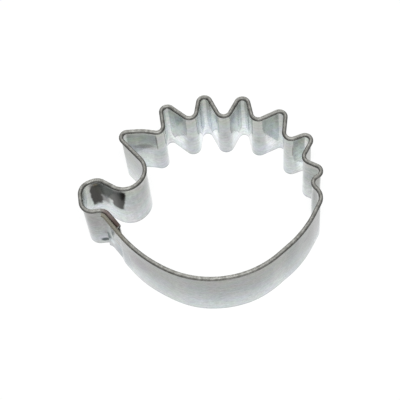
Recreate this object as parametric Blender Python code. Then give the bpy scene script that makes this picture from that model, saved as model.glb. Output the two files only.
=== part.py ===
"""Hedgehog cookie cutter: one tinplate strip with a beaded edge, bent to an outline and spot welded at its lap.

World frame: +Z up, the cutting edge on z = 0, +X from the nose to the tail, +Y towards the back with its
spines. The origin lies under the middle of the outline.
"""

import math
from typing import NamedTuple

import bmesh
import bpy
from mathutils import Matrix, Vector

# Sizes are in millimetres, and MM turns them into the scene's metres.
MM = 0.001

# The box round the outline's corners
OUTLINE_LENGTH = 66.7
OUTLINE_WIDTH = 58.3

# The strip, and the bead rolled outward along its top edge
SHEET = 0.30
BAND_HEIGHT = 21.6
BEAD_WIDTH = 1.18
BEAD_TURN = math.radians(250.0)
WALL_INSET = 0.15
NECK_RISE = 1.0

# The lap at the chin, where the belly's end of the strip passes outside the nose's end and wraps round the chin
LAP_ANGLE = math.radians(-58.0)
NOSE_END_RUN = 6.4
BELLY_END_WRAP = math.radians(40.0)
BELLY_END_RUN = 17.0
BEAD_CLEARANCE = 0.04
LAP_GAP = 0.05
PRESS_LEAD = 2.4
PRESS_DROP = 3.4
FOOT_HEIGHT = 4.0
FOOT_SPRING = 0.5

# The spot welds through both sheets of the lap, with the shares of the radius where the dish ends and its rim starts
WELD_RADIUS = 1.1
WELD_CLEARANCE = 0.05
WELD_DISH = 0.10
WELD_DISH_SHARE = 0.45
WELD_RIM_SHARE = 0.75
WELD_HEIGHTS = {"spot_weld_lower": 7.0, "spot_weld_upper": 13.8}

# Bend radii of the bead's centre line, and the share of its neighbouring sides that a bend may take
TIP_RADIUS = 1.7
VALLEY_RADIUS = 2.0
TAIL_RADIUS = 3.9
BEND_SHARE = 0.495
END_BEND_SHARE = 0.74

# Smoothness of the bends, the bead and the welds
ARC_STEP = math.radians(18.0)
ARC_SAG = 0.02
BEAD_STEPS = 8
NECK_STEPS = 3
LAP_STEPS = 12
ROUND_STEPS = 24
SHARP_ANGLE = math.radians(32.0)
MERGE = 0.001


class Corner(NamedTuple):
    """A corner of the outline, in millimetres, and the radius that the strip is bent to there."""

    x: float
    y: float
    radius: float


# The outline runs from the chin round the nose, over the back, past the tail and along the belly.
HEAD = (
    Corner(-26.1, -3.4, 2.9),
    Corner(-32.3, -3.4, 3.3),
    Corner(-32.4, 4.6, 4.3),
    Corner(-27.2, 6.1, 3.4),
    Corner(-19.9, 0.5, 5.4),
    Corner(-12.5, 6.7, 6.4),
)
BACK = (
    Corner(-21.6, 19.5, TIP_RADIUS),
    Corner(-13.2, 19.0, 18.5),
    Corner(-8.0, 17.1, VALLEY_RADIUS),
    Corner(-8.3, 28.2, TIP_RADIUS),
    Corner(0.5, 19.3, VALLEY_RADIUS),
    Corner(3.7, 31.0, TIP_RADIUS),
    Corner(8.4, 18.1, VALLEY_RADIUS),
    Corner(15.5, 28.4, TIP_RADIUS),
    Corner(16.5, 17.4, VALLEY_RADIUS),
    Corner(26.1, 20.7, TIP_RADIUS),
    Corner(23.7, 10.1, VALLEY_RADIUS),
    Corner(33.6, 12.7, TIP_RADIUS),
    Corner(27.9, 4.4, VALLEY_RADIUS),
    Corner(34.3, 0.2, TIP_RADIUS),
    Corner(29.0, -2.5, VALLEY_RADIUS),
    Corner(32.3, -6.9, TAIL_RADIUS),
)
BELLY = (
    Corner(26.0, -16.8, 40.8),
    Corner(11.8, -27.0, 27.7),
    Corner(-4.4, -27.3, 26.1),
)
BELLY_END_RADIUS = 37.9

# Sizes that follow from the ones above
BEAD_RADIUS = (BEAD_WIDTH - SHEET) / 2
BEAD_HEIGHT = BAND_HEIGHT - BEAD_WIDTH / 2
NECK_HEIGHT = BEAD_HEIGHT - NECK_RISE
LAP_PITCH = BEAD_WIDTH + BEAD_CLEARANCE
LAP_PRESS = LAP_PITCH - SHEET - LAP_GAP
LAP_STACK = 2 * SHEET + LAP_GAP
LAP_ALONG = Vector((math.cos(LAP_ANGLE), math.sin(LAP_ANGLE)))
LAP_OUTWARD = Vector((LAP_ALONG.y, -LAP_ALONG.x))


class Station(NamedTuple):
    """A point of the bead's centre line and the outward direction there, both in plan."""

    point: Vector
    outward: Vector


def outward_of(direction):
    """The side that faces away from the inside when the outline is followed along direction."""
    return Vector((-direction.y, direction.x))


def stretched(corners):
    """The corners, stretched so that the box round them measures OUTLINE_LENGTH by OUTLINE_WIDTH."""
    across = [corner.x for corner in corners]
    along = [corner.y for corner in corners]
    stretch_x = OUTLINE_LENGTH / (max(across) - min(across))
    stretch_y = OUTLINE_WIDTH / (max(along) - min(along))
    return [Corner(corner.x * stretch_x, corner.y * stretch_y, corner.radius) for corner in corners]


def lap_point(chin, along, outward=0.0):
    """The plan point at a distance along the lap from the chin's corner, and outward from the nose's end."""
    return Vector((chin.x, chin.y)) + LAP_ALONG * along + LAP_OUTWARD * outward


def outline_corners():
    """Every corner between the strip's two ends, the last one worked out so that the lap's runs are parallel."""
    corners = stretched((*HEAD, *BACK, *BELLY))
    end = lap_point(corners[0], BELLY_END_RUN, LAP_PITCH)
    return (*corners, Corner(end.x, end.y, BELLY_END_RADIUS))


def bend(before, corner, after, room):
    """Stations round one bend, whose radius is kept small enough for its tangents to fit the room beside it."""
    point = Vector((corner.x, corner.y))
    inbound = (point - before).normalized()
    outbound = (after - point).normalized()
    turn = math.atan2(inbound.x * outbound.y - inbound.y * outbound.x, inbound.dot(outbound))
    reach = math.tan(abs(turn) / 2)
    radius = min(corner.radius, room / reach)
    side = math.copysign(1.0, turn)
    centre = point - inbound * radius * reach + outward_of(inbound) * radius * side
    step = min(ARC_STEP, 2 * math.acos(1 - ARC_SAG / radius))
    count = max(1, math.ceil(abs(turn) / step))
    stations = []
    for index in range(count + 1):
        outward = outward_of(inbound)
        outward.rotate(Matrix.Rotation(turn * index / count, 2))
        stations.append(Station(centre - outward * radius * side, outward))
    return stations


def chin_start(corners):
    """How far along the lap from the chin's corner its bend starts."""
    chin, nose = corners[:2]
    ahead = Vector((nose.x - chin.x, nose.y - chin.y)).normalized()
    return chin.radius * math.tan((-LAP_ALONG).angle(ahead) / 2)


def wrapped_end(corners):
    """Stations of the belly's end, bent round the chin's bend on the same centre."""
    chin = corners[0]
    centre = lap_point(chin, chin_start(corners), chin.radius)
    count = max(1, math.ceil(BELLY_END_WRAP / ARC_STEP))
    stations = []
    for index in range(1, count + 1):
        outward = LAP_OUTWARD.copy()
        outward.rotate(Matrix.Rotation(BELLY_END_WRAP * index / count, 2))
        stations.append(Station(centre - outward * (chin.radius - LAP_PITCH), outward))
    return stations


def outline_stations():
    """Stations along the whole strip, from the nose's end at the lap to the belly's end."""
    corners = outline_corners()
    first = lap_point(corners[0], NOSE_END_RUN)
    last = lap_point(corners[0], chin_start(corners), LAP_PITCH)
    points = [first, *(Vector((corner.x, corner.y)) for corner in corners), last]
    stations = [Station(first, outward_of((points[1] - first).normalized()))]
    for index, corner in enumerate(corners, start=1):
        before, here, after = points[index - 1], points[index], points[index + 1]
        share = END_BEND_SHARE if index in (1, len(corners)) else BEND_SHARE
        room = share * min((here - before).length, (after - here).length)
        stations += bend(before, corner, after, room)
    final = Station(last, outward_of((last - points[-2]).normalized()))
    start = stations[-1].point
    for index in range(1, LAP_STEPS):
        stations.append(Station(start.lerp(last, index / LAP_STEPS), final.outward))
    stations.append(final)
    return stations + wrapped_end(corners)


def lap_length():
    """The length of strip that is doubled at the lap."""
    chin_radius = HEAD[0].radius - LAP_PITCH
    return NOSE_END_RUN - chin_start(outline_corners()) + chin_radius * BELLY_END_WRAP


def plan_middle():
    """The middle of the outline's box in plan, to the bead's outer edge."""
    edges = [station.point + station.outward * BEAD_WIDTH / 2 for station in outline_stations()]
    across = [edge.x for edge in edges]
    along = [edge.y for edge in edges]
    return Vector((min(across) + max(across), min(along) + max(along))) / 2


def smoothstep(value):
    """Eases from 0 to 1 as value goes from 0 to 1."""
    value = min(max(value, 0.0), 1.0)
    return value * value * (3 - 2 * value)


def lengths_from(stations):
    """The strip's length from the first station to each station."""
    lengths = [0.0]
    for first, second in zip(stations, stations[1:]):
        lengths.append(lengths[-1] + (second.point - first.point).length)
    return lengths


def presses(stations):
    """How far the wall is pressed in at each station, so that the belly's end lies LAP_GAP off the nose's end."""
    lengths = lengths_from(stations)
    start = lengths[-1] - lap_length() - PRESS_LEAD / 2
    return [LAP_PRESS * smoothstep((length - start) / PRESS_LEAD) for length in lengths]


def wall_levels():
    """Heights up the wall, each with the share of the press that it takes."""
    middle_share = (FOOT_SPRING + 1.0) / 2
    return (
        (0.0, FOOT_SPRING),
        (FOOT_HEIGHT / 2, middle_share),
        (FOOT_HEIGHT, 1.0),
        (NECK_HEIGHT - PRESS_DROP, 1.0),
        (NECK_HEIGHT - PRESS_DROP / 2, 0.5),
        (NECK_HEIGHT, 0.0),
    )


def section(press):
    """The strip's section as pairs of points on its two faces, from the cutting edge round the bead.

    Each point is a distance outward from the bead's centre line and a height.
    """
    half = SHEET / 2
    middles = [(-WALL_INSET - press * share, height) for height, share in wall_levels()]
    for index in range(1, NECK_STEPS):
        share = index / NECK_STEPS
        step_in = (BEAD_RADIUS - WALL_INSET) * smoothstep(share)
        middles.append((-WALL_INSET - step_in, NECK_HEIGHT + NECK_RISE * share))
    pairs = [((middle - half, height), (middle + half, height)) for middle, height in middles]
    centre = Vector((0.0, BEAD_HEIGHT))
    for index in range(BEAD_STEPS + 1):
        angle = math.pi - BEAD_TURN * index / BEAD_STEPS
        ray = Vector((math.cos(angle), math.sin(angle)))
        pairs.append((centre + ray * (BEAD_RADIUS + half), centre + ray * (BEAD_RADIUS - half)))
    return pairs


def strip_mesh():
    """Sweeps the section along the outline, and closes both ends."""
    stations = outline_stations()
    mesh = bmesh.new()
    rings = []
    for station, press in zip(stations, presses(stations)):
        ring = []
        for pair in section(press):
            for offset, height in pair:
                plan = station.point + station.outward * offset
                ring.append(mesh.verts.new(Vector((plan.x, plan.y, height)) * MM))
        rings.append(ring)
    count = len(rings[0])
    around = [*range(0, count, 2), *range(count - 1, 0, -2)]
    for near, far in zip(rings, rings[1:]):
        for a, b in zip(around, around[1:] + around[:1]):
            mesh.faces.new((near[a], near[b], far[b], far[a]))
    for ring in (rings[0], rings[-1]):
        for low in range(0, count - 2, 2):
            mesh.faces.new((ring[low], ring[low + 1], ring[low + 3], ring[low + 2]))
    bmesh.ops.recalc_face_normals(mesh, faces=mesh.faces)
    return mesh


def weld_frame(height):
    """Places a weld's own z axis outward through the middle of the lap's two sheets."""
    corners = outline_corners()
    along = (chin_start(corners) + NOSE_END_RUN) / 2
    middle = -WALL_INSET + (SHEET + LAP_GAP) / 2
    plan = lap_point(corners[0], along, middle)
    outward = Vector((LAP_OUTWARD.x, LAP_OUTWARD.y, 0.0))
    turn = outward.to_track_quat("Z", "Y").to_matrix().to_4x4()
    return Matrix.Translation(Vector((plan.x, plan.y, height)) * MM) @ turn


def weld_mesh():
    """A weld nugget through both sheets, dished on each face by the electrodes."""
    rim = (LAP_STACK - LAP_GAP) / 2
    profile = [
        (0.0, rim - WELD_DISH),
        (WELD_DISH_SHARE * WELD_RADIUS, rim - WELD_DISH),
        (WELD_RIM_SHARE * WELD_RADIUS, rim - WELD_DISH / 2),
        (WELD_RADIUS, rim),
    ]
    profile += [(radius, -height) for radius, height in reversed(profile)]
    mesh = bmesh.new()
    verts = [mesh.verts.new(Vector((radius, 0.0, height)) * MM) for radius, height in profile]
    edges = [mesh.edges.new(pair) for pair in zip(verts, verts[1:])]
    bmesh.ops.spin(
        mesh,
        geom=verts + edges,
        cent=(0.0, 0.0, 0.0),
        axis=(0.0, 0.0, 1.0),
        angle=math.tau,
        steps=ROUND_STEPS,
        use_merge=True,
    )
    bmesh.ops.remove_doubles(mesh, verts=mesh.verts, dist=MERGE * MM)
    bmesh.ops.recalc_face_normals(mesh, faces=mesh.faces)
    return mesh


def hole_mesh():
    """The cutter for a weld's hole, long enough for the lap's two sheets only."""
    mesh = bmesh.new()
    bmesh.ops.create_cone(
        mesh,
        cap_ends=True,
        segments=ROUND_STEPS,
        radius1=(WELD_RADIUS + WELD_CLEARANCE) * MM,
        radius2=(WELD_RADIUS + WELD_CLEARANCE) * MM,
        depth=(LAP_STACK + 2 * SHEET) * MM,
    )
    return mesh


def metal(name, colour, roughness):
    """A bare metal in one colour."""
    material = bpy.data.materials.new(name)
    material.use_nodes = True
    shader = material.node_tree.nodes["Principled BSDF"]
    shader.inputs["Base Color"].default_value = (*colour, 1.0)
    shader.inputs["Metallic"].default_value = 1.0
    shader.inputs["Roughness"].default_value = roughness
    return material


def add_object(name, source, material, parent):
    """Turns a bmesh into a named object under its parent."""
    mesh = bpy.data.meshes.new(name)
    source.to_mesh(mesh)
    source.free()
    mesh.shade_smooth()
    mesh.set_sharp_from_angle(angle=SHARP_ANGLE)
    mesh.materials.append(material)
    piece = bpy.data.objects.new(name, mesh)
    piece.parent = parent
    bpy.context.scene.collection.objects.link(piece)
    return piece


def cut_hole(band, name, frame, material, parent):
    """Cuts a weld's hole through the band with a hidden cylinder."""
    cutter = add_object(f"{name}_hole", hole_mesh(), material, parent)
    cutter.matrix_local = frame
    cutter.hide_render = True
    cutter.display_type = "WIRE"
    cut = band.modifiers.new(f"{name}_hole", "BOOLEAN")
    cut.operation = "DIFFERENCE"
    cut.solver = "EXACT"
    cut.object = cutter


def build():
    """Makes the cutter: the band and its spot welds, under one empty."""
    for old in list(bpy.data.objects):
        bpy.data.objects.remove(old, do_unlink=True)
    root = bpy.data.objects.new("cookie_cutter", None)
    root.location = -plan_middle().to_3d() * MM
    bpy.context.scene.collection.objects.link(root)
    tinplate = metal("tinplate", (0.62, 0.64, 0.63), 0.25)
    weld_metal = metal("weld_metal", (0.46, 0.43, 0.40), 0.42)
    band = add_object("cutter_band", strip_mesh(), tinplate, root)
    for name, height in WELD_HEIGHTS.items():
        frame = weld_frame(height)
        cut_hole(band, name, frame, tinplate, root)
        weld = add_object(name, weld_mesh(), weld_metal, root)
        weld.matrix_local = frame


build()
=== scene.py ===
"""Looks of the hedgehog cookie cutter: the bent tinplate band, its spot welds, the worktop and the studio.

World frame: +Z up from the cutting edge, +X from the nose to the tail, +Y from the belly to the spines. Sizes
are written in millimetres, and MM turns them into metres where a mesh or a pattern is made.
"""

import logging
import math
from dataclasses import dataclass, field
from enum import Enum

import bmesh
import bpy
from mathutils import Matrix, Vector, noise


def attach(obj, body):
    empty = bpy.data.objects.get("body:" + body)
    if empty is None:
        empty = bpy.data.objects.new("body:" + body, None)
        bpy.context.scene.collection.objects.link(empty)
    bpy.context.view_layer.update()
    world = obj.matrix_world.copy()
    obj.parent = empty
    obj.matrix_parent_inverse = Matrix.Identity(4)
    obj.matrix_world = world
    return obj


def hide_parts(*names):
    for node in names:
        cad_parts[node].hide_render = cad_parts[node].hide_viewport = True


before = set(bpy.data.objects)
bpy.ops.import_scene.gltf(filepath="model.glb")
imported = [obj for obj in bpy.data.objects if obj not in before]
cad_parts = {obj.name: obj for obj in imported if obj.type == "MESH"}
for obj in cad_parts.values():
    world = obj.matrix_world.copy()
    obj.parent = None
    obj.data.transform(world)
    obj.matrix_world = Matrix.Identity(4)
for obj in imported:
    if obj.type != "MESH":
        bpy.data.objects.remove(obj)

MM = 0.001
BODY = "root"
LOG = logging.getLogger("cookie_cutter")

Colour = tuple[float, float, float]
Span = tuple[float, float]
Socket = bpy.types.NodeSocket
Input = Socket | float | Colour
Owner = bpy.types.Material | bpy.types.World
Verts = list[bmesh.types.BMVert]


def smoothstep(value: float) -> float:
    """Eases from 0 to 1 as value goes from 0 to 1."""
    value = min(max(value, 0.0), 1.0)
    return value * value * (3 - 2 * value)


# Outline


@dataclass(frozen=True)
class Corner:
    """A corner of the outline in plan and the radius that the strip is bent to there."""

    x: float
    y: float
    radius: float

    @property
    def point(self) -> Vector:
        """The corner as a plan vector."""
        return Vector((self.x, self.y))


@dataclass(frozen=True)
class Station:
    """A plan point of the bead's centre line, the outward direction there and the strip's length up to it."""

    point: Vector
    outward: Vector
    along: float


class Spine(Enum):
    """The seven spines and the tail, in order along the back, each with its tip's plan corner."""

    FIRST = (-21.6, 19.5)
    SECOND = (-8.3, 28.2)
    THIRD = (3.7, 31.0)
    FOURTH = (15.5, 28.4)
    FIFTH = (26.1, 20.7)
    SIXTH = (33.6, 12.7)
    SEVENTH = (34.3, 0.2)
    TAIL = (32.3, -6.9)


@dataclass
class HedgehogOutline:
    """The hedgehog's outline in plan: the straight lengths and bends that the strip is bent through."""

    tip_radius: float = 1.7
    valley_radius: float = 2.0
    tail_radius: float = 3.9
    lap_angle: float = math.radians(-58.0)
    nose_end_run: float = 6.4
    belly_end_wrap: float = math.radians(40.0)
    belly_end_run: float = 17.0
    belly_end_radius: float = 37.9
    lap_pitch: float = 1.22
    bend_share: float = 0.495
    end_bend_gain: float = 1.5
    step: float = 0.6
    shortest_run: float = 0.15
    bend_step: float = math.radians(5.0)
    chin: Corner = Corner(-26.1, -3.4, 2.9)
    head: tuple[Corner, ...] = (
        Corner(-32.3, -3.4, 3.3),
        Corner(-32.4, 4.6, 4.3),
        Corner(-27.2, 6.1, 3.4),
        Corner(-19.9, 0.5, 5.4),
        Corner(-12.5, 6.7, 6.4),
    )
    flank: Corner = Corner(-13.2, 19.0, 18.5)
    valleys: tuple[Span, ...] = (
        (-8.0, 17.1),
        (0.5, 19.3),
        (8.4, 18.1),
        (16.5, 17.4),
        (23.7, 10.1),
        (27.9, 4.4),
        (29.0, -2.5),
    )
    belly: tuple[Corner, ...] = (
        Corner(26.0, -16.8, 40.8),
        Corner(11.8, -27.0, 27.7),
        Corner(-4.4, -27.3, 26.1),
    )
    shift: Vector = field(default_factory=lambda: Vector((0.0, 0.0)))

    def corners(self) -> list[Corner]:
        """Every corner from the chin round the nose, over the back, past the tail and along the belly.

        Returns:
            The corners in the strip's order.
        """
        end = self.lap_point(self.belly_end_run, self.lap_pitch)
        back = [self._tip(Spine.FIRST), self.flank]
        for valley, spine in zip(self.valleys, list(Spine)[1:]):
            back += [Corner(*valley, self.valley_radius), self._tip(spine)]
        return [self.chin, *self.head, *back, *self.belly, Corner(end.x, end.y, self.belly_end_radius)]

    def _tip(self, spine: Spine) -> Corner:
        """The corner at the tip of a spine or of the tail."""
        return Corner(*spine.value, self.tail_radius if spine is Spine.TAIL else self.tip_radius)

    @property
    def lap_along(self) -> Vector:
        """The direction of the lap's two parallel runs, from the chin towards the belly."""
        return Vector((math.cos(self.lap_angle), math.sin(self.lap_angle)))

    @property
    def lap_outward(self) -> Vector:
        """The outward direction at the lap."""
        return Vector((self.lap_along.y, -self.lap_along.x))

    def lap_point(self, along: float, outward: float = 0.0) -> Vector:
        """A plan point by its distances along the lap from the chin and outward from the nose's end."""
        return self.chin.point + self.lap_along * along + self.lap_outward * outward

    @property
    def chin_start(self) -> float:
        """How far along the lap from the chin's corner its bend starts."""
        ahead = (self.head[0].point - self.chin.point).normalized()
        return self.chin.radius * math.tan((-self.lap_along).angle(ahead) / 2)

    @property
    def lap_length(self) -> float:
        """The length of strip that is doubled at the lap."""
        wrapped = (self.chin.radius - self.lap_pitch) * self.belly_end_wrap
        return self.nose_end_run - self.chin_start + wrapped

    def placed_lap_point(self, along: float, outward: float = 0.0) -> Vector:
        """The lap point where the finished cutter has it."""
        return self.lap_point(along, outward) + self.shift

    def _straight(self, stations: list[Station], end: Vector) -> None:
        """Adds stations up to a straight run's end, about a step apart, unless the next bend starts at once.

        Args:
            stations: The stations so far, which grow.
            end: The run's end in plan.
        """
        start = stations[-1]
        ahead = Vector((start.outward.y, -start.outward.x))
        length = (end - start.point).dot(ahead)
        if length < self.shortest_run:
            return
        count = max(1, math.ceil(length / self.step))
        for index in range(1, count + 1):
            share = index / count
            point = start.point.lerp(end, share)
            stations.append(Station(point, start.outward, start.along + length * share))

    def _bend(
        self, stations: list[Station], before: Vector, corner: Corner, after: Vector, room: float
    ) -> None:
        """Adds the straight run up to a bend and then the bend itself.

        Args:
            stations: The stations so far, which grow.
            before: The corner before this one.
            corner: The corner that is rounded.
            after: The corner after this one.
            room: The length on either side that the bend may take.
        """
        inbound = (corner.point - before).normalized()
        outbound = (after - corner.point).normalized()
        turn = math.atan2(inbound.x * outbound.y - inbound.y * outbound.x, inbound.dot(outbound))
        reach = math.tan(abs(turn) / 2)
        radius = min(corner.radius, room / reach)
        side = math.copysign(1.0, turn)
        outward = Vector((-inbound.y, inbound.x))
        centre = corner.point - inbound * radius * reach + outward * radius * side
        self._straight(stations, centre - outward * radius * side)
        start = stations[-1]
        count = max(1, math.ceil(max(abs(turn) / self.bend_step, abs(turn) * radius / self.step)))
        for index in range(1, count + 1):
            share = index / count
            facing = outward.copy()
            facing.rotate(Matrix.Rotation(turn * share, 2))
            along = start.along + abs(turn) * radius * share
            stations.append(Station(centre - facing * radius * side, facing, along))

    def _wrap(self, stations: list[Station]) -> None:
        """Adds the belly's end, bent round the chin's bend on the same centre.

        Args:
            stations: The stations so far, which grow.
        """
        start = stations[-1]
        centre = self.lap_point(self.chin_start, self.chin.radius)
        radius = self.chin.radius - self.lap_pitch
        count = math.ceil(self.belly_end_wrap / self.bend_step)
        for index in range(1, count + 1):
            turn = self.belly_end_wrap * index / count
            facing = start.outward.copy()
            facing.rotate(Matrix.Rotation(turn, 2))
            stations.append(Station(centre - facing * radius, facing, start.along + turn * radius))

    def stations(self) -> list[Station]:
        """Walks the whole strip.

        Returns:
            Every station, from the nose's end at the lap to the belly's end.
        """
        corners = self.corners()
        first = self.lap_point(self.nose_end_run)
        last = self.lap_point(self.chin_start, self.lap_pitch)
        points = [first, *(corner.point for corner in corners), last]
        heading = (points[1] - first).normalized()
        stations = [Station(first, Vector((-heading.y, heading.x)), 0.0)]
        for index, corner in enumerate(corners, start=1):
            before, after = points[index - 1], points[index + 1]
            room = self.bend_share * min((corner.point - before).length, (after - corner.point).length)
            if index in (1, len(corners)):
                room *= self.end_bend_gain
            self._bend(stations, before, corner, after, room)
        self._straight(stations, last)
        self._wrap(stations)
        return stations


# Finishes

COLOUR_MIX_INPUTS = (0, 6, 7)
COLOUR_MIX_OUTPUT = 2
# The rays that see the white background: the camera's, and those that a surface mirrors or lets through
BACKGROUND_RAYS = ("Camera", "Glossy", "Transmission")


class NodePen:
    """Draws a material's or a world's nodes: each call adds one and gives back the socket that it makes."""

    def __init__(self, owner: Owner, shader: str = "Principled BSDF") -> None:
        """Starts on a new material or world.

        Args:
            owner: The material or the world.
            shader: The name of the shader that it starts with.
        """
        owner.use_nodes = True
        self.owner = owner
        self.nodes = owner.node_tree.nodes
        self.shader = self.nodes[shader]
        self.surface = self.shader.outputs[0].links[0].to_socket

    @staticmethod
    def _feed(node: bpy.types.Node, socket: int | str, value: Input) -> None:
        """Links a socket to an input, or writes a plain value into it.

        Args:
            node: The node that is fed.
            socket: The input's number, or its name with spaces written as underscores.
            value: The socket or the value.
        """
        entry = node.inputs[socket.replace("_", " ") if isinstance(socket, str) else socket]
        if isinstance(value, Socket):
            node.id_data.links.new(value, entry)
        elif isinstance(value, tuple) and len(value) == 3 and entry.type == "RGBA":
            entry.default_value = (*value, 1.0)
        else:
            entry.default_value = value

    def node(
        self, kind: str, *values: Input, output: int | str = 0, settings: dict | None = None, **inputs: Input
    ) -> Socket:
        """Adds a node.

        Args:
            kind: The node's type name.
            *values: Values or sockets for its first inputs.
            output: The output to give back.
            settings: Values of the node's own properties.
            **inputs: Values or sockets by input name, with spaces written as underscores.

        Returns:
            The chosen output socket.
        """
        node = self.nodes.new(kind)
        for key, value in (settings or {}).items():
            setattr(node, key, value)
        for socket, value in (*enumerate(values), *inputs.items()):
            self._feed(node, socket, value)
        return node.outputs[output]

    def math(self, operation: str, *values: Input) -> Socket:
        """A Math node on the given values."""
        return self.node("ShaderNodeMath", *values, settings={"operation": operation})

    def vector(self, operation: str, *values: Input, output: str = "Vector") -> Socket:
        """A Vector Math node on the given values."""
        return self.node("ShaderNodeVectorMath", *values, output=output, settings={"operation": operation})

    def between(self, share: Input, low: float, high: float) -> Socket:
        """A value that runs evenly from low to high as a share goes from 0 to 1."""
        return self.math("MULTIPLY_ADD", share, high - low, low)

    def about(self, share: Input, middle: float, reach: float) -> Socket:
        """A value that strays from a middle by up to a reach as a share goes from 0 to 1."""
        return self.between(share, middle - reach, middle + reach)

    def ramp(self, value: Input, span: Span, to: Span = (0.0, 1.0), unit: float = 1.0) -> Socket:
        """A smooth step of a value.

        Args:
            value: The value.
            span: Where the step starts and ends.
            to: What it gives at its start and its end.
            unit: What the span is counted in.

        Returns:
            The stepped value.
        """
        return self.node(
            "ShaderNodeMapRange",
            settings={"interpolation_type": "SMOOTHSTEP"},
            Value=value,
            From_Min=span[0] * unit,
            From_Max=span[1] * unit,
            To_Min=to[0],
            To_Max=to[1],
        )

    def bands(self, value: Input, stops: tuple[tuple[float, Colour], ...]) -> Socket:
        """A colour that runs smoothly through some stops.

        Args:
            value: Where it is read, from 0 to 1.
            stops: Each stop's place and colour.

        Returns:
            The colour.
        """
        node = self.nodes.new("ShaderNodeValToRGB")
        node.color_ramp.interpolation = "B_SPLINE"
        places = node.color_ramp.elements
        ready = len(places)
        for index, (position, colour) in enumerate(stops):
            stop = places[index] if index < ready else places.new(position)
            stop.position = position
            stop.color = (*colour, 1.0)
        self._feed(node, 0, value)
        return node.outputs[0]

    def mix(
        self, factor: Input, first: Input, second: Input, blend: str = "MIX", clamp: bool = False
    ) -> Socket:
        """A colour mix.

        Args:
            factor: The second colour's share.
            first: The first colour.
            second: The second colour.
            blend: How the second is laid on the first.
            clamp: Whether the result is kept from 0 to 1.

        Returns:
            The mixed colour.
        """
        node = self.nodes.new("ShaderNodeMix")
        node.data_type = "RGBA"
        node.blend_type = blend
        node.clamp_result = clamp
        for index, value in zip(COLOUR_MIX_INPUTS, (factor, first, second)):
            self._feed(node, index, value)
        return node.outputs[COLOUR_MIX_OUTPUT]

    def tinted(self, colour: Input, tone: Input) -> Socket:
        """A colour multiplied by another."""
        return self.mix(1.0, colour, tone, "MULTIPLY")

    def grey(self, value: Input) -> Socket:
        """A grey of the given value."""
        return self.node("ShaderNodeCombineColor", Red=value, Green=value, Blue=value)

    def bumps(self, height: Input, depth: float, strength: float) -> Socket:
        """The normal of bumps of a depth in millimetres."""
        return self.node("ShaderNodeBump", Height=height, Distance=depth * MM, Strength=strength)

    def feed(self, **inputs: Input) -> Owner:
        """Sets the shader's inputs.

        Args:
            **inputs: Values or sockets by input name, with spaces written as underscores.

        Returns:
            The material or the world.
        """
        for name, value in inputs.items():
            self._feed(self.shader, name, value)
        return self.owner

    def show(self, shown: Socket) -> Owner:
        """Shows the background's rays another shader than the one that lights.

        Args:
            shown: The shader that those rays see.

        Returns:
            The material or the world.
        """
        seen: Input = 0.0
        for kind in BACKGROUND_RAYS:
            seen = self.math("MAXIMUM", seen, self.node("ShaderNodeLightPath", output=f"Is {kind} Ray"))
        both = self.node("ShaderNodeMixShader", seen, self.shader.outputs[0], shown)
        self.owner.node_tree.links.new(both, self.surface)
        return self.owner


class Ground(Enum):
    """What a pattern is laid out on: the flat strip, or the piece as it stands."""

    STRIP = "UV"
    PIECE = "Object"


@dataclass(frozen=True)
class Pattern:
    """An uneven pattern of soft random blotches, round 0.5.

    Args:
        waves: How many blotches go to a metre, each way.
        detail: How many finer layers it has.
        crispness: How strong the finer layers are.
        ground: What it is laid out on.
    """

    waves: tuple[float, float, float]
    detail: float = 2.0
    crispness: float = 0.55
    ground: Ground = Ground.STRIP

    def draw(self, pen: NodePen) -> Socket:
        """Adds the pattern to a material.

        Args:
            pen: The material's pen.

        Returns:
            The pattern's value.
        """
        coordinates = pen.node("ShaderNodeTexCoord", output=self.ground.value)
        place = pen.node("ShaderNodeMapping", Vector=coordinates, Scale=self.waves)
        layers = {"Detail": self.detail, "Roughness": self.crispness}
        return pen.node("ShaderNodeTexNoise", Vector=place, Scale=1.0, **layers)


@dataclass(frozen=True)
class Mark:
    """A soft oval patch on one side of the strip, mostly painted light, shade or highlight.

    Args:
        run: Its middle's distance along the strip, in millimetres.
        rise: Its middle's distance up the sheet, in millimetres.
        half_run: Half its length along the strip, in millimetres.
        half_rise: Half its length up the sheet, in millimetres.
        tone: What it multiplies the tin's colour by, or for painted shade the lightest that it leaves.
        painted_shade: Whether the mark is painted shade, which is boxy and never darkens what is already as
            dark.
        edge: The width of the mark's soft edge, as a share of its half sizes.
        turn: The angle that it is turned by on the sheet, in degrees.
        rim: Where the mark has faded out, as a share of its half sizes.
    """

    run: float
    rise: float
    half_run: float
    half_rise: float
    tone: Colour
    # Set on the marks that are painted shade: the dark reflected shadow inside the nose
    painted_shade: bool = False
    edge: float = 0.6
    turn: float = 0.0
    rim: float = 1.15

    def lay(self, pen: NodePen, strip: Input, wander: Input, colour: Input) -> Socket:
        """Lays the mark over a colour.

        Args:
            pen: The material's pen.
            strip: The strip's UV coordinates.
            wander: How far the mark's edge strays, as a share of its half sizes.
            colour: The colour under it.

        Returns:
            The marked colour.
        """
        place = pen.node(
            "ShaderNodeMapping",
            settings={"vector_type": "TEXTURE"},
            Vector=strip,
            Location=(self.run * MM, self.rise * MM, 0.0),
            Rotation=(0.0, 0.0, math.radians(self.turn)),
            Scale=(self.half_run * MM, self.half_rise * MM, 1.0),
        )
        if self.painted_shade:
            place = pen.vector("MULTIPLY", place, place)
        reach = pen.math("ADD", pen.vector("LENGTH", place, output="Value"), wander)
        marked = pen.mix(1.0, colour, self.tone, "DARKEN" if self.painted_shade else "MULTIPLY", clamp=True)
        return pen.mix(pen.ramp(reach, (self.rim, self.rim - self.edge)), colour, marked)


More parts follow.
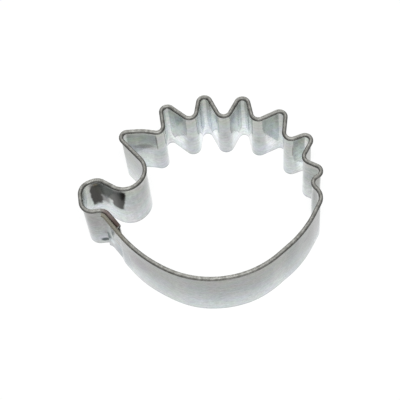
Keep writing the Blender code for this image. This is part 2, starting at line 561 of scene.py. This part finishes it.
@dataclass(frozen=True)
class TinplateFinish:
    """Rolled tinplate: bright and clouded, creased by the bending, dull on its bead and stained at the weld.
    Its colour
    holds painted light and shade: lighter towards the foot, darker at the very foot and on the bead's flanks,
    and painted patches of light, shade and highlight.

    The strip's UV map runs in metres, u from the nose's end along the strip and v up the sheet from the
    cutting edge, so the parts of the finish are placed by those distances. The reaches of the heat stains are
    counted in lengths of the lap.
    """

    name: str
    # The tin's colour up the wall with painted light in it: lighter towards the foot, where the wall mirrors
    # the lit card
    tin_and_painted_light_by_rise: tuple[tuple[float, Colour], ...]
    # Patches on the strip: mostly painted light, shade and highlight, with a few darker, tinted patches
    painted_light_and_marks: tuple[Mark, ...]
    crease_depth: float
    clouds: Pattern = Pattern((90.0, 130.0, 1.0))
    cloud_drift: float = 4.0
    blush: Pattern = Pattern((260.0, 380.0, 1.0))
    mauve: Colour = (1.02, 0.975, 1.01)
    green: Colour = (0.985, 1.01, 0.975)
    chill: Pattern = Pattern((170.0, 240.0, 1.0))
    blue: Colour = (0.98, 1.0, 1.025)
    straw_tint: Colour = (1.01, 1.0, 0.975)
    tint_span: Span = (0.40, 0.60)
    creases: Pattern = Pattern((1400.0, 45.0, 1.0))
    specks: Pattern = Pattern((750.0, 1100.0, 1.0), 4.0, 0.75)
    speck_depth: float = 0.45
    grain: Pattern = Pattern((3600.0, 3600.0, 1.0))
    grain_depth: float = 0.11
    # Painted shade at the very foot, where the wall meets the card
    foot: Span = (0.9, 0.1)
    painted_foot_shade: float = 0.78
    ragged: Pattern = Pattern((700.0, 500.0, 1.0))
    raggedness: float = 0.35
    roughness: float = 0.12
    grain_roughness: float = 0.03
    relief: float = 0.012
    relief_strength: float = 0.6
    relief_creases: float = 0.7
    bead_start: Span = (0.4, 1.1)
    bead: Colour = (0.21, 0.203, 0.183)
    bead_light: Colour = (0.335, 0.327, 0.304)
    tarnish: Span = (0.38, 0.62)
    bead_metal: float = 0.35
    bead_roughness: float = 0.50
    # Painted shade on the bead, set by which way its surface faces
    flank: Span = (0.05, 0.65)
    flank_shade: float = 0.42
    front: Span = (0.3, -0.7)
    front_shade: float = 0.62
    heat: Pattern = Pattern((300.0, 500.0, 1.0))
    heat_drift: float = 2.0
    copper: Colour = (0.125, 0.092, 0.087)
    copper_reach: Span = (1.35, 0.85)
    copper_share: float = 0.9
    burnt: Colour = (0.055, 0.034, 0.027)
    burnt_reach: Span = (0.75, 0.1)
    straw: Colour = (0.175, 0.163, 0.130)
    straw_reach: Span = (2.6, 0.6)
    straw_foot: float = 0.9

    def make(self, band: "BeadedBand") -> bpy.types.Material:
        """Builds the material.

        Args:
            band: The band that it dresses.

        Returns:
            The material.
        """
        pen = NodePen(bpy.data.materials.new(self.name))
        strip = pen.node("ShaderNodeTexCoord", output="UV")
        run = pen.node("ShaderNodeSeparateXYZ", strip)
        rise = pen.node("ShaderNodeSeparateXYZ", strip, output=1)
        rolled = pen.ramp(rise, tuple(band.neck_height + part for part in self.bead_start), unit=MM)
        creases, specks, grain = (part.draw(pen) for part in (self.creases, self.specks, self.grain))
        colour = self._tin(pen, band, rise)
        wander = pen.about(self.ragged.draw(pen), 0.0, self.raggedness)
        for mark in self.painted_light_and_marks:
            colour = mark.lay(pen, strip, wander, colour)
        tarnish = pen.mix(pen.ramp(specks, self.tarnish), self.bead, self.bead_light)
        # The bead's colour, with painted shade by which way it faces
        colour = pen.mix(rolled, colour, pen.tinted(tarnish, self._painted_bead_shade(pen)))
        # Painted shade at the very foot, multiplied by random grain, specks and streaks
        shade = pen.ramp(rise, self.foot, (1.0, self.painted_foot_shade), MM)
        depths = ((grain, self.grain_depth), (specks, self.speck_depth), (creases, self.crease_depth))
        for pattern, depth in depths:
            shade = pen.math("MULTIPLY", shade, pen.about(pattern, 1.0, depth))
        colour = self._heat(pen, band, run, rise, pen.tinted(colour, pen.grey(shade)))
        rough = pen.between(rolled, self.roughness, self.bead_roughness)
        fine = pen.math("MULTIPLY", grain, 1.0 - self.relief_creases)
        wave = pen.math("MULTIPLY_ADD", creases, self.relief_creases, fine)
        return pen.feed(
            Base_Color=colour,
            Metallic=pen.between(rolled, 1.0, self.bead_metal),
            Roughness=pen.math("ADD", rough, pen.about(grain, 0.0, self.grain_roughness)),
            Normal=pen.bumps(wave, self.relief, self.relief_strength),
        )

    def _tin(self, pen: NodePen, band: "BeadedBand", rise: Input) -> Socket:
        """Colours the wall by its height, lighter towards the foot as painted light, with clouds and faint
        tints.

        Args:
            pen: The material's pen.
            band: The band.
            rise: The distance up the sheet.

        Returns:
            The colour.
        """
        drift = pen.about(self.clouds.draw(pen), 0.0, self.cloud_drift * MM)
        share = pen.math("DIVIDE", pen.math("ADD", rise, drift), band.neck_height * MM)
        colour = pen.bands(share, self.tin_and_painted_light_by_rise)
        tints = ((self.blush, self.green, self.mauve), (self.chill, self.blue, self.straw_tint))
        for pattern, first, second in tints:
            tint = pen.mix(pen.ramp(pattern.draw(pen), self.tint_span), first, second)
            colour = pen.tinted(colour, tint)
        return colour

    def _painted_bead_shade(self, pen: NodePen) -> Socket:
        """Paints shade on the bead by which way it faces: most on its flanks at the nose, the tail and the
        front.

        Args:
            pen: The material's pen.

        Returns:
            The grey that the bead's colour is multiplied by.
        """
        facing = pen.node("ShaderNodeTexCoord", output="Normal")
        across = pen.math("ABSOLUTE", pen.node("ShaderNodeSeparateXYZ", facing))
        back = pen.node("ShaderNodeSeparateXYZ", facing, output=1)
        flank = pen.ramp(across, self.flank, (1.0, self.flank_shade))
        return pen.grey(pen.math("MULTIPLY", flank, pen.ramp(back, self.front, (1.0, self.front_shade))))

    def _heat(self, pen: NodePen, band: "BeadedBand", run: Input, rise: Input, colour: Input) -> Socket:
        """Stains the nose's end with copper and brown, and the belly's end of the bead with straw.

        Args:
            pen: The material's pen.
            band: The band.
            run: The distance along the strip.
            rise: The distance up the sheet.
            colour: The unstained colour.

        Returns:
            The stained colour.
        """
        end = pen.math("ADD", run, pen.about(self.heat.draw(pen), 0.0, self.heat_drift * MM))
        lap = band.lap_length * MM
        copper = pen.math("MULTIPLY", pen.ramp(end, self.copper_reach, unit=lap), self.copper_share)
        colour = pen.mix(copper, colour, self.copper)
        colour = pen.mix(pen.ramp(end, self.burnt_reach, unit=lap), colour, self.burnt)
        left = pen.math("SUBTRACT", band.length * MM, end)
        high = pen.ramp(rise, (self.straw_foot * band.neck_height, band.bead_height), unit=MM)
        straw = pen.math("MULTIPLY", pen.ramp(left, self.straw_reach, unit=lap), high)
        return pen.mix(straw, colour, self.straw)


# Darkens the lower wall a little, at four places along the back
LOW_DARKENING: Colour = (0.80, 0.79, 0.80)
INSIDE = TinplateFinish(
    name="tinplate_inside",
    crease_depth=0.11,
    # The tin's colour up the wall with painted light: lighter low down, where the inner walls mirror the lit
    # card
    tin_and_painted_light_by_rise=(
        (0.05, (0.62, 0.65, 0.66)),
        (0.25, (0.66, 0.71, 0.725)),
        (0.50, (0.50, 0.535, 0.53)),
        (0.80, (0.43, 0.455, 0.44)),
        (1.00, (0.42, 0.435, 0.405)),
    ),
    painted_light_and_marks=(
        # Painted shade inside the nose: dark patches where its walls mirror the card's shadow
        Mark(24.7, 11.4, 1.7, 3.6, (0.20, 0.20, 0.20), painted_shade=True, edge=1.0),
        Mark(25.9, 17.6, 5.3, 5.5, (0.020, 0.022, 0.012), painted_shade=True),
        Mark(22.2, 13.2, 1.75, 6.4, (0.022, 0.020, 0.016), painted_shade=True),
        Mark(29.35, 14.2, 1.8, 6.2, (0.010, 0.010, 0.007), painted_shade=True, edge=0.55, turn=-8.0),
        # A painted pinkish highlight in the nose
        Mark(22.5, 19.0, 0.8, 0.7, (5.0, 4.0, 4.2)),
        # Painted light on the first spine's inner wall, with a smudge of painted shade across it
        Mark(59.2, 16.5, 4.4, 4.6, (1.16, 1.14, 1.10)),
        Mark(59.2, 12.8, 3.4, 1.4, (0.66, 0.67, 0.65)),
        # Painted light on the inner walls of the next spines
        Mark(75.5, 12.0, 3.6, 11.0, (1.32, 1.31, 1.29)),
        Mark(93.0, 13.0, 3.0, 10.0, (1.45, 1.44, 1.44)),
        Mark(118.0, 12.0, 2.4, 11.0, (1.25, 1.24, 1.22)),
        Mark(134.8, 11.0, 2.6, 11.0, (1.45, 1.44, 1.42)),
        # Painted shade along two crease lines
        Mark(62.8, 15.5, 0.22, 4.8, (0.55, 0.54, 0.53)),
        Mark(131.6, 14.0, 0.20, 3.8, (0.55, 0.54, 0.53)),
        # Broad patches of painted light and shade
        Mark(39.0, 8.0, 9.0, 14.0, (0.78, 0.77, 0.77)),
        Mark(86.0, 7.0, 4.5, 10.0, (1.17, 1.17, 1.18)),
        Mark(104.5, 6.0, 4.5, 10.0, (1.17, 1.17, 1.17)),
        Mark(129.0, 4.0, 5.0, 8.0, (0.84, 0.84, 0.84)),
        Mark(152.0, 10.0, 9.0, 14.0, (0.66, 0.66, 0.65)),
        *(Mark(run, 4.5, 2.4, 7.5, LOW_DARKENING) for run in (63.4, 80.2, 97.4, 114.2)),
    ),
)
OUTSIDE = TinplateFinish(
    name="tinplate_outside",
    crease_depth=0.035,
    # The tin's colour up the wall with painted light: lighter low down, where the outer wall mirrors the lit
    # card
    tin_and_painted_light_by_rise=(
        (0.05, (0.57, 0.605, 0.615)),
        (0.25, (0.48, 0.52, 0.525)),
        (0.50, (0.345, 0.36, 0.36)),
        (0.80, (0.295, 0.31, 0.30)),
        (1.00, (0.32, 0.325, 0.31)),
    ),
    painted_light_and_marks=(
        # Painted shade in the crevice at the foot of the lap
        Mark(7.8, 2.5, 1.5, 1.2, (0.10, 0.13, 0.14)),
        # Painted shade along the crevice beside the belly's end, then a painted highlight low down
        Mark(235.1, 6.0, 0.75, 2.8, (0.26, 0.32, 0.33)),
        Mark(234.1, 3.0, 0.6, 1.3, (1.35, 1.38, 1.38)),
        Mark(228.5, 6.0, 4.5, 6.5, (0.66, 0.72, 0.79)),
        Mark(221.5, 13.0, 4.5, 4.5, (0.88, 0.82, 0.87)),
        Mark(231.5, 17.5, 4.5, 3.0, (0.93, 0.93, 0.80)),
        # Broad patches of painted shade
        Mark(11.5, 7.0, 6.0, 12.0, (0.84, 0.82, 0.83)),
        Mark(163.5, 12.0, 6.0, 13.0, (0.64, 0.62, 0.63)),
        Mark(230.0, 9.0, 8.0, 13.0, (0.76, 0.76, 0.75)),
        Mark(170.0, 10.0, 9.0, 14.0, (0.78, 0.79, 0.78)),
        Mark(216.5, 8.0, 8.0, 14.0, (0.88, 0.88, 0.88)),
    ),
)


@dataclass(frozen=True)
class CutEdgeFinish:
    """The sheared edge of the sheet: bare steel with fine nicks, duller and greyer than the tin."""

    name: str = "sheared_edge"
    nicks: Pattern = Pattern((5200.0, 900.0, 5200.0), 3.0, ground=Ground.PIECE)
    dark: Colour = (0.42, 0.42, 0.41)
    light: Colour = (0.50, 0.49, 0.47)
    roughness: Span = (0.42, 0.58)
    relief: float = 0.02
    relief_strength: float = 0.5

    def make(self) -> bpy.types.Material:
        """Builds the material.

        Returns:
            The material.
        """
        pen = NodePen(bpy.data.materials.new(self.name))
        nicks = self.nicks.draw(pen)
        return pen.feed(
            Base_Color=pen.mix(nicks, self.dark, self.light),
            Metallic=1.0,
            Roughness=pen.between(nicks, *self.roughness),
            Normal=pen.bumps(nicks, self.relief, self.relief_strength),
        )


@dataclass(frozen=True)
class WeldFinish:
    """Fused weld metal: dull, cratered and heat tinted."""

    name: str = "weld_metal"
    blotches: Pattern = Pattern((1500.0, 1500.0, 1500.0), 3.0, ground=Ground.PIECE)
    blotch_span: Span = (0.4, 0.65)
    core: Colour = (0.56, 0.57, 0.56)
    tint: Colour = (0.46, 0.42, 0.38)
    pits: Pattern = Pattern((6000.0, 6000.0, 6000.0), ground=Ground.PIECE)
    roughness: Span = (0.16, 0.36)
    relief: float = 0.03
    relief_strength: float = 0.7

    def make(self) -> bpy.types.Material:
        """Builds the material.

        Returns:
            The material.
        """
        pen = NodePen(bpy.data.materials.new(self.name))
        blotches = pen.ramp(self.blotches.draw(pen), self.blotch_span)
        pits = self.pits.draw(pen)
        return pen.feed(
            Base_Color=pen.mix(blotches, self.core, self.tint),
            Metallic=1.0,
            Roughness=pen.between(pits, *self.roughness),
            Normal=pen.bumps(pits, self.relief, self.relief_strength),
        )


@dataclass(frozen=True)
class WorktopFinish:
    """Plain matt card, which the camera and the mirroring tin see as white apart from a soft shadow."""

    name: str = "white_card"
    fibres: Pattern = Pattern((300.0, 300.0, 300.0), 3.0, ground=Ground.PIECE)
    fibre_span: Span = (0.4, 0.6)
    colour: Colour = (0.78, 0.78, 0.775)
    fibre_colour: Colour = (0.7878, 0.7878, 0.78275)
    roughness: float = 0.9
    specular: float = 0.1
    seen_share: float = 0.15
    seen_glow: float = 0.90

    def make(self) -> bpy.types.Material:
        """Builds the material.

        Returns:
            The material.
        """
        pen = NodePen(bpy.data.materials.new(self.name))
        fibres = pen.ramp(self.fibres.draw(pen), self.fibre_span)
        colour = pen.mix(fibres, self.colour, self.fibre_colour)
        pen.feed(Base_Color=colour, Roughness=self.roughness, Specular_IOR_Level=self.specular)
        glow = pen.node("ShaderNodeEmission", Color=(1.0, 1.0, 1.0), Strength=self.seen_glow)
        dark = pen.node("ShaderNodeEmission", Color=(0.0, 0.0, 0.0), Strength=0.0)
        dimmed = pen.node("ShaderNodeMixShader", self.seen_share, dark, pen.shader.outputs[0])
        return pen.show(pen.node("ShaderNodeAddShader", dimmed, glow))


# Pieces


class Side(Enum):
    """The sides of the sheet, by their material slots."""

    INNER = 0
    EDGE = 1
    OUTER = 2


@dataclass(frozen=True)
class Ripple:
    """A wave of the hand-bent wall: its depth, its length along and up the wall, and its seed."""

    depth: float
    along: float
    up: float
    seed: float

    def at(self, along: float, height: float) -> float:
        """How far the wall stands out at a place."""
        return self.depth * noise.noise(Vector((along / self.along, height / self.up, self.seed)))


@dataclass
class BeadedBand:
    """The strip of tinplate: a wall whose top edge is rolled outward into a bead, bent to the outline."""

    outline: HedgehogOutline
    sheet: float = 0.30
    height: float = 21.6
    bead_width: float = 1.18
    bead_turn: float = math.radians(250.0)
    bead_steps: int = 20
    wall_inset: float = 0.15
    neck_rise: float = 1.0
    neck_steps: int = 5
    row_rise: float = 1.4
    lap_gap: float = 0.05
    press_lead: float = 2.4
    press_drop: float = 3.4
    foot_height: float = 4.0
    foot_spring: float = 0.5
    ripples: tuple[Ripple, ...] = (Ripple(0.16, 11.0, 19.0, 3.7), Ripple(0.022, 3.1, 26.0, 9.2))
    ripple_drop: float = 6.0
    ripple_gap: float = 1.0
    ripple_lead: float = 4.0
    weld_radius: float = 1.1
    weld_heights: tuple[float, float] = (7.0, 13.8)
    pierce_reach: float = 2.0
    pierce_cuts: int = 3
    pierce_merge: float = 0.02
    edge_round: float = 0.05
    edge_segments: int = 2
    edge_angle: float = math.radians(50.0)

    def __post_init__(self) -> None:
        """Works out the sizes that follow from the fields, and centres the outline on the origin."""
        self.bead_radius: float = (self.bead_width - self.sheet) / 2
        self.bead_height: float = self.height - self.bead_width / 2
        self.neck_height: float = self.bead_height - self.neck_rise
        self.lap_middle: float = (self.outline.nose_end_run + self.outline.chin_start) / 2
        self.lap_length: float = self.outline.lap_length
        self.stations: list[Station] = self.outline.stations()
        edges = [station.point + station.outward * self.bead_width / 2 for station in self.stations]
        across = [edge.x for edge in edges]
        along = [edge.y for edge in edges]
        self.outline.shift = -Vector((min(across) + max(across), min(along) + max(along))) / 2
        self.length: float = self.stations[-1].along

    def wall_heights(self) -> list[float]:
        """Heights of the wall's rows, from the cutting edge to the bead's neck."""
        count = round(self.neck_height / self.row_rise)
        return [self.neck_height * index / count for index in range(count + 1)]

    def _section(self, mesh: bmesh.types.BMesh) -> Verts:
        """Draws the sheet's section in its own plane: up the wall, out to the bead's inner side and round it.

        Args:
            mesh: The mesh that gets the section, with x outward and z up.

        Returns:
            The section's vertices from the cutting edge to the rolled edge.
        """
        heights = self.wall_heights()
        start = (-self.wall_inset * MM, 0.0, heights[0] * MM)
        moves = [Vector((0.0, 0.0, (high - low) * MM)) for low, high in zip(heights, heights[1:])]
        step_in = self.bead_radius - self.wall_inset
        step_up = self.neck_rise / self.neck_steps
        eased = [smoothstep(index / self.neck_steps) for index in range(self.neck_steps + 1)]
        moves += [Vector((-(high - low) * step_in, 0.0, step_up)) * MM for low, high in zip(eased, eased[1:])]
        chain = bmesh.ops.create_vert(mesh, co=start)["vert"]
        for move in moves:
            top = bmesh.ops.extrude_vert_indiv(mesh, verts=chain[-1:])["verts"]
            bmesh.ops.translate(mesh, verts=top, vec=move)
            chain += top
        turn = Matrix.Rotation(self.bead_turn / self.bead_steps, 3, "Y")
        for _ in range(self.bead_steps):
            top = bmesh.ops.extrude_vert_indiv(mesh, verts=chain[-1:])["verts"]
            bmesh.ops.rotate(mesh, verts=top, cent=(0.0, 0.0, self.bead_height * MM), matrix=turn)
            chain += top
        return chain

    def _bend_strip(self, mesh: bmesh.types.BMesh) -> list[Verts]:
        """Extrudes the section from station to station along the outline.

        Args:
            mesh: The empty mesh that gets the strip.

        Returns:
            One list of vertices for each station, from the cutting edge to the rolled edge.
        """
        mesh.verts.layers.float.new("along")
        level = mesh.verts.layers.int.new("level")
        ring = self._section(mesh)
        for index, vert in enumerate(ring):
            vert[level] = index
        before = self._frame(self.stations[0])
        bmesh.ops.transform(mesh, matrix=before, verts=mesh.verts)
        rings = [ring]
        front = list(mesh.edges)
        for station in self.stations[1:]:
            made = bmesh.ops.extrude_edge_only(mesh, edges=front)["geom"]
            front = [part for part in made if isinstance(part, bmesh.types.BMEdge)]
            ring = [part for part in made if isinstance(part, bmesh.types.BMVert)]
            after = self._frame(station)
            move = after @ before.inverted()
            for vert in ring:
                vert.co = move @ vert.co
            rings.append(sorted(ring, key=lambda vert: vert[level]))
            before = after
        return rings

    def _frame(self, station: Station) -> Matrix:
        """Places the section, with x outward and z up.

        Args:
            station: Where it goes.

        Returns:
            Its place as a matrix.
        """
        point = (station.point + self.outline.shift) * MM
        x, y = station.outward
        return Matrix(((x, -y, 0, point.x), (y, x, 0, point.y), (0, 0, 1, 0), (0, 0, 0, 1)))

    def _press(self, station: Station) -> float:
        """How far the wall is pressed in at a station, so that the belly's end lies on the nose's end."""
        lapped = self.lap_length + self.press_lead / 2 - (self.length - station.along)
        return smoothstep(lapped / self.press_lead) * (self.outline.lap_pitch - self.sheet - self.lap_gap)

    def _press_share(self, height: float) -> float:
        """The share of the press at a height: less at the foot, which springs back, and none at the bead."""
        foot = self.foot_spring + (1 - self.foot_spring) * smoothstep(height / self.foot_height)
        return foot * smoothstep((self.neck_height - height) / self.press_drop)

    def _calm(self, along: float) -> float:
        """The share of the ripple at a distance along the strip, which is none at the lap."""
        lapped = min(along, self.length - along)
        return smoothstep((lapped - self.lap_length - self.ripple_gap) / self.ripple_lead)

    def _ripple(self, along: float, height: float) -> float:
        """How far the hand-bent wall leaves the upright, which it doesn't do at the stiff bead."""
        free = smoothstep((self.neck_height - height) / self.ripple_drop)
        return free * self._calm(along) * sum(ripple.at(along, height) for ripple in self.ripples)

    def _shape(self, rings: list[Verts]) -> None:
        """Presses the lap together and adds the hand-bent ripple.

        Args:
            rings: The strip's vertices, station by station.
        """
        for station, ring in zip(self.stations, rings):
            press = self._press(station)
            out = Vector((station.outward.x, station.outward.y, 0.0))
            for vert in ring:
                height = vert.co.z / MM
                if height >= self.neck_height:
                    continue
                move = self._ripple(station.along, height) - press * self._press_share(height)
                vert.co += out * move * MM

    def weld_axis(self) -> tuple[Vector, Vector]:
        """The plan point of the welds' axis, midway through the two sheets, and its outward direction."""
        middle = -self.wall_inset + (self.sheet + self.lap_gap) / 2
        return self.outline.placed_lap_point(self.lap_middle, middle), self.outline.lap_outward

    def _pierce(self, mesh: bmesh.types.BMesh) -> None:
        """Opens the round holes that the welds fill, by rounding the rows of vertices onto each circle.

        Args:
            mesh: The strip.
        """
        centre, outward = self.weld_axis()
        run = self.outline.lap_along
        radius = self.weld_radius * MM
        for weld in self.weld_heights:
            middle = Vector((centre.x, centre.y, weld)) * MM

            def near(face: bmesh.types.BMFace, reach: float) -> bool:
                """Tells whether a face of either sheet is at a weld.

                Args:
                    face: The face.
                    reach: How far from the weld's axis its middle may lie.

                Returns:
                    True where it lies that near.
                """
                local = face.calc_center_median() - middle
                depth = abs(local.x * outward.x + local.y * outward.y)
                return depth < 2 * self.sheet * MM and (local.length_squared - depth * depth) < reach * reach

            wide = self.pierce_reach * radius
            ring = list(dict.fromkeys(edge for face in mesh.faces if near(face, wide) for edge in face.edges))
            bmesh.ops.subdivide_edges(mesh, edges=ring, cuts=self.pierce_cuts, use_grid_fill=True)
            doomed = [face for face in mesh.faces if near(face, radius)]
            rim = dict.fromkeys(vert for face in doomed for vert in face.verts)
            rim = [vert for vert in rim if any(face not in doomed for face in vert.link_faces)]
            bmesh.ops.delete(mesh, geom=doomed, context="FACES")
            for vert in rim:
                local = vert.co - middle
                flat = Vector((local.x * run.x + local.y * run.y, local.z))
                move = flat.normalized() * radius - flat
                vert.co += Vector((run.x * move.x, run.y * move.x, move.y))
        bmesh.ops.dissolve_degenerate(mesh, edges=mesh.edges, dist=self.pierce_merge * MM)

    def _unwrap(self, mesh: bmesh.types.BMesh, rings: list[Verts]) -> None:
        """Lays the strip flat in its UV map, in metres: u along the strip and v across the sheet.

        Args:
            mesh: The strip.
            rings: Its vertices, station by station.
        """
        across = [0.0]
        ring = rings[0]
        for low, high in zip(ring, ring[1:]):
            across.append(across[-1] + (high.co - low.co).length)
        level = mesh.verts.layers.int["level"]
        place = mesh.verts.layers.float["along"]
        for station, ring in zip(self.stations, rings):
            for vert in ring:
                vert[place] = station.along * MM
        uv = mesh.loops.layers.uv.new("strip")
        for face in mesh.faces:
            for loop in face.loops:
                loop[uv].uv = (loop.vert[place], across[loop.vert[level]])

    def build(self, finishes: list[bpy.types.Material]) -> bpy.types.Object:
        """Builds the band and dresses it.

        Args:
            finishes: The materials in the order of the sheet's sides.

        Returns:
            The finished object.
        """
        mesh = bmesh.new()
        rings = self._bend_strip(mesh)
        self._shape(rings)
        self._unwrap(mesh, rings)
        self._pierce(mesh)
        bmesh.ops.recalc_face_normals(mesh, faces=mesh.faces)
        piece = to_object("bent_band", mesh, finishes)
        solid = piece.modifiers.new("sheet", "SOLIDIFY")
        solid.thickness = self.sheet * MM
        solid.offset = 0.0
        solid.material_offset_rim = Side.EDGE.value
        solid.material_offset = Side.OUTER.value
        rounded = piece.modifiers.new("rounded_edges", "BEVEL")
        rounded.width = self.edge_round * MM
        rounded.segments = self.edge_segments
        rounded.limit_method = "ANGLE"
        rounded.angle_limit = self.edge_angle
        rounded.harden_normals = True
        return piece


@dataclass
class SpotWeld:
    """A spot weld's nugget through the lap's two sheets, dished on both faces by the electrodes.

    The points of its profile are shares of the nugget's radius and of the dish's depth.
    """

    node: str
    height: float
    band: BeadedBand
    dish: float = 0.09
    profile: tuple[Span, ...] = ((0.0, -1.0), (0.42, -1.0), (0.62, -0.75), (0.80, -0.12), (0.90, 0.10))
    chamfer: float = 0.02
    clearance: float = 0.004
    steps: int = 64
    merge: float = 0.001

    def build(self, finish: bpy.types.Material) -> bpy.types.Object:
        """Turns the nugget's profile round the weld's axis.

        Args:
            finish: The weld metal's material.

        Returns:
            The finished object.
        """
        rim = self.band.sheet + self.band.lap_gap / 2
        radius = self.band.weld_radius - self.clearance
        face = [(share * radius, rim + depth * self.dish) for share, depth in self.profile]
        face.append((radius, rim - self.chamfer))
        face += [(distance, -height) for distance, height in reversed(face)]
        mesh = bmesh.new()
        verts = [mesh.verts.new(Vector((distance, 0.0, height)) * MM) for distance, height in face]
        edges = [mesh.edges.new(pair) for pair in zip(verts, verts[1:])]
        bmesh.ops.spin(
            mesh,
            geom=verts + edges,
            cent=(0.0, 0.0, 0.0),
            axis=(0.0, 0.0, 1.0),
            angle=math.tau,
            steps=self.steps,
            use_merge=True,
        )
        bmesh.ops.remove_doubles(mesh, verts=mesh.verts, dist=self.merge * MM)
        centre, outward = self.band.weld_axis()
        turn = outward.to_3d().to_track_quat("Z", "Y").to_matrix().to_4x4()
        place = Matrix.Translation(Vector((centre.x, centre.y, self.height)) * MM)
        bmesh.ops.transform(mesh, matrix=place @ turn, verts=mesh.verts)
        bmesh.ops.recalc_face_normals(mesh, faces=mesh.faces)
        return to_object(f"{self.node}_nugget", mesh, [finish])


def to_object(name: str, source: bmesh.types.BMesh, finishes: list[bpy.types.Material]) -> bpy.types.Object:
    """Turns a bmesh into a smooth-shaded object at the origin.

    Args:
        name: The piece's name.
        source: The mesh, which is freed.
        finishes: The piece's materials in slot order.

    Returns:
        The new object, linked to the scene.
    """
    mesh = bpy.data.meshes.new(name)
    source.to_mesh(mesh)
    source.free()
    mesh.shade_smooth()
    for finish in finishes:
        mesh.materials.append(finish)
    piece = bpy.data.objects.new(name, mesh)
    bpy.context.scene.collection.objects.link(piece)
    return piece


# Stage


@dataclass(frozen=True)
class Worktop:
    """The plain white card that the cutter stands on."""

    size: float = 4000.0
    drop: float = 0.02

    def build(self) -> bpy.types.Object:
        """Builds the card, a hair below the cutting edge.

        Returns:
            The card.
        """
        mesh = bmesh.new()
        bmesh.ops.create_grid(mesh, x_segments=1, y_segments=1, size=self.size * MM / 2)
        bmesh.ops.translate(mesh, verts=mesh.verts, vec=(0.0, 0.0, -self.drop * MM))
        return to_object("worktop", mesh, [WorktopFinish().make()])


@dataclass(frozen=True)
class Softbox:
    """A soft lamp that hangs round the cutter.

    Its angles are in degrees, with the azimuth 0 behind the spines and 90 beyond the tail. Its distance, its
    width and its length are in metres, and its power is in watts.
    """

    name: str
    azimuth: float
    elevation: float
    distance: float
    size: tuple[float, float]
    power: float
    colour: Colour = (1.0, 1.0, 1.0)

    def build(self) -> None:
        """Hangs the lamp, facing the cutter."""
        turn, rise = math.radians(self.azimuth), math.radians(self.elevation)
        level = math.cos(rise)
        direction = Vector((math.sin(turn) * level, math.cos(turn) * level, math.sin(rise)))
        data = bpy.data.lights.new(self.name, "AREA")
        data.shape = "RECTANGLE"
        data.size, data.size_y = self.size
        data.energy = self.power
        data.color = self.colour
        lamp = bpy.data.objects.new(self.name, data)
        lamp.location = direction * self.distance
        lamp.rotation_euler = direction.to_track_quat("Z", "Y").to_euler()
        bpy.context.scene.collection.objects.link(lamp)


@dataclass(frozen=True)
class Studio:
    """The lamps, the dim room round them and the camera."""

    lamps: tuple[Softbox, ...] = (
        Softbox("key_softbox", 177.0, 74.0, 0.9, (0.24, 0.12), 6.9, (0.97, 1.0, 1.005)),
        Softbox("side_softbox", 250.0, 60.0, 0.9, (0.20, 0.20), 0.6, (0.97, 1.0, 1.005)),
        Softbox("back_softbox", 0.0, 20.0, 0.9, (1.0, 0.55), 3.0, (0.98, 1.0, 0.99)),
    )
    room: Colour = (0.06, 0.062, 0.056)
    backdrop: Colour = (1.0, 1.0, 1.0)
    aim: tuple[float, float, float] = (-0.544, -4.2035, 21.6)
    distance: float = 399.65
    depression: float = math.radians(64.372)
    roll: float = math.radians(7.10)
    lens: float = 135.0
    sensor: float = 36.0
    nearest: float = 10.0

    def light(self) -> None:
        """Hangs the lamps and paints the room, which is dim but shows as white behind and in the tin."""
        for lamp in self.lamps:
            lamp.build()
        pen = NodePen(bpy.data.worlds.new("studio"), "Background")
        pen.feed(Color=self.room)
        bpy.context.scene.world = pen.show(pen.node("ShaderNodeBackground", Color=self.backdrop))

    def shoot(self, outline: HedgehogOutline) -> None:
        """Sets the camera at the photograph's angle.

        Args:
            outline: The outline whose drawing the aim is counted in.
        """
        forward = Vector((0.0, math.cos(self.depression), -math.sin(self.depression)))
        level = Vector((1.0, 0.0, 0.0))
        upright = Vector((0.0, math.sin(self.depression), math.cos(self.depression)))
        right = level * math.cos(self.roll) - upright * math.sin(self.roll)
        up = level * math.sin(self.roll) + upright * math.cos(self.roll)
        place = Matrix((right, up, -forward)).transposed().to_4x4()
        aim = Vector(self.aim) + outline.shift.to_3d()
        place.translation = (aim - forward * self.distance) * MM
        data = bpy.data.cameras.new("camera")
        data.sensor_width = self.sensor
        data.lens = self.lens
        data.clip_start = self.nearest * MM
        camera = bpy.data.objects.new("camera", data)
        camera.matrix_world = place
        bpy.context.scene.collection.objects.link(camera)
        bpy.context.scene.camera = camera
        bpy.context.scene.view_settings.view_transform = "Standard"


def seat(piece: bpy.types.Object, nodes: list[str]) -> None:
    """Makes a piece ride on the cutter's body, and reports it.

    Args:
        piece: The piece.
        nodes: The nodes that it stands for.
    """
    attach(piece, BODY)
    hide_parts(*nodes)
    LOG.info("%s: %d vertices, stands for %s", piece.name, len(piece.data.vertices), ", ".join(nodes))


def main() -> None:
    """Builds the cutter, the stage and the studio in order."""
    logging.basicConfig(level=logging.INFO, format="%(name)s: %(message)s")
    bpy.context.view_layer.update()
    outline = HedgehogOutline()
    band = BeadedBand(outline)
    sides = {
        Side.INNER: INSIDE.make(band),
        Side.EDGE: CutEdgeFinish().make(),
        Side.OUTER: OUTSIDE.make(band),
    }
    seat(band.build([sides[side] for side in Side]), ["cutter_band"])
    weld_metal = WeldFinish().make()
    for node, height in zip(("spot_weld_lower", "spot_weld_upper"), band.weld_heights):
        seat(SpotWeld(node, height, band).build(weld_metal), [node])
    Worktop().build()
    studio = Studio()
    studio.light()
    studio.shoot(outline)


if __name__ == "__main__":
    main()
